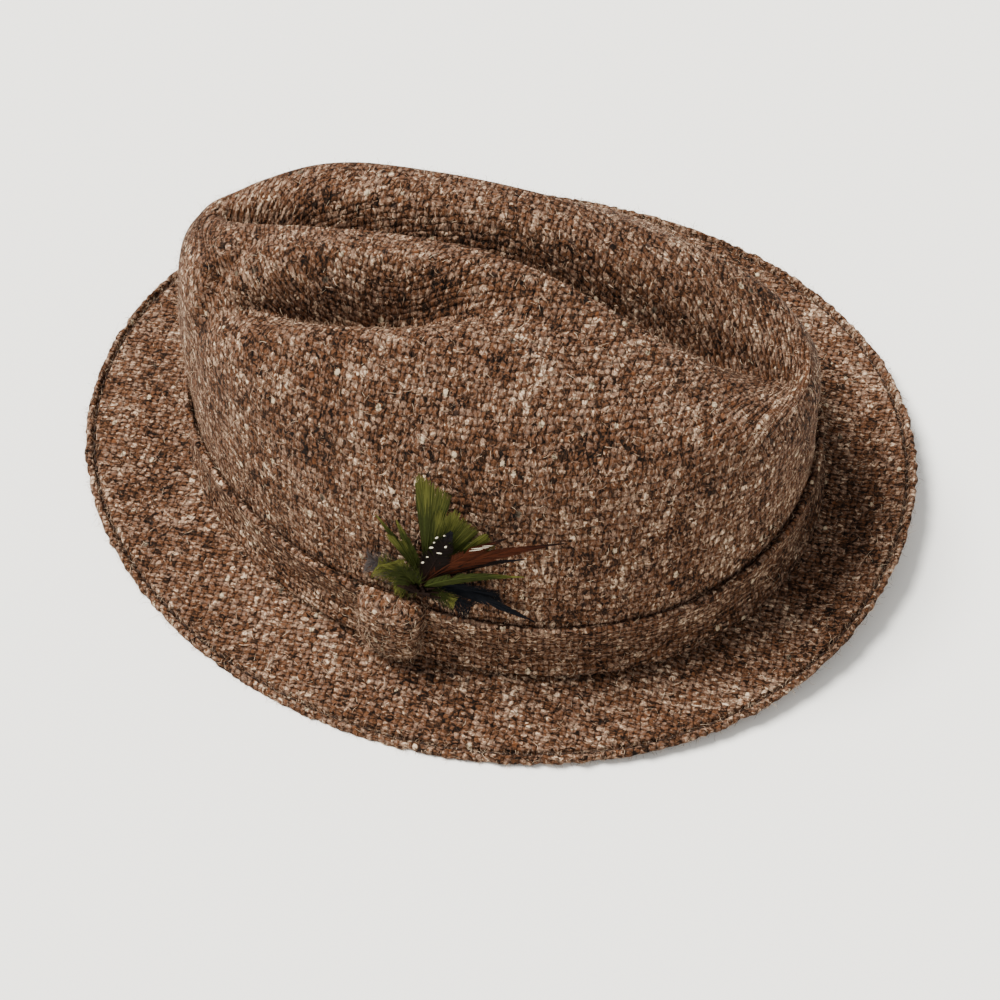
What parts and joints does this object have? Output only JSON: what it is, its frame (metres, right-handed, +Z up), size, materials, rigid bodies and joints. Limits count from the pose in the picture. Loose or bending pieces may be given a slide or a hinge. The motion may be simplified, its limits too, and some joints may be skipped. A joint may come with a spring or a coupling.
{
  "type": "fedora hat",
  "caption": "Soft brown tweed fedora with a creased crown, snapped brim, self-fabric band and dyed feather bunch.",
  "frame": {"origin": "centre of the hat's bounding box on the surface it rests on", "axes": "+Z up, -Y to the hat's front, +Y to its back, +X to the wearer's left, where the feather bunch sits"},
  "size_m": [0.224, 0.266, 0.1103],
  "materials": {
    "crown_tweed": "coarse woven tweed",
    "brim_tweed": "coarse woven tweed",
    "band_tweed": "coarse woven tweed",
    "loop_tweed": "coarse woven tweed",
    "feather_green": "dyed feathers, green with rust, navy and spotted ones"
  },
  "bodies": {
    "root": {"crown": "crown_tweed", "brim": "brim_tweed", "band": "band_tweed", "band_loop": "loop_tweed", "feather_bunch": "feather_green"}
  },
  "joints": []
}
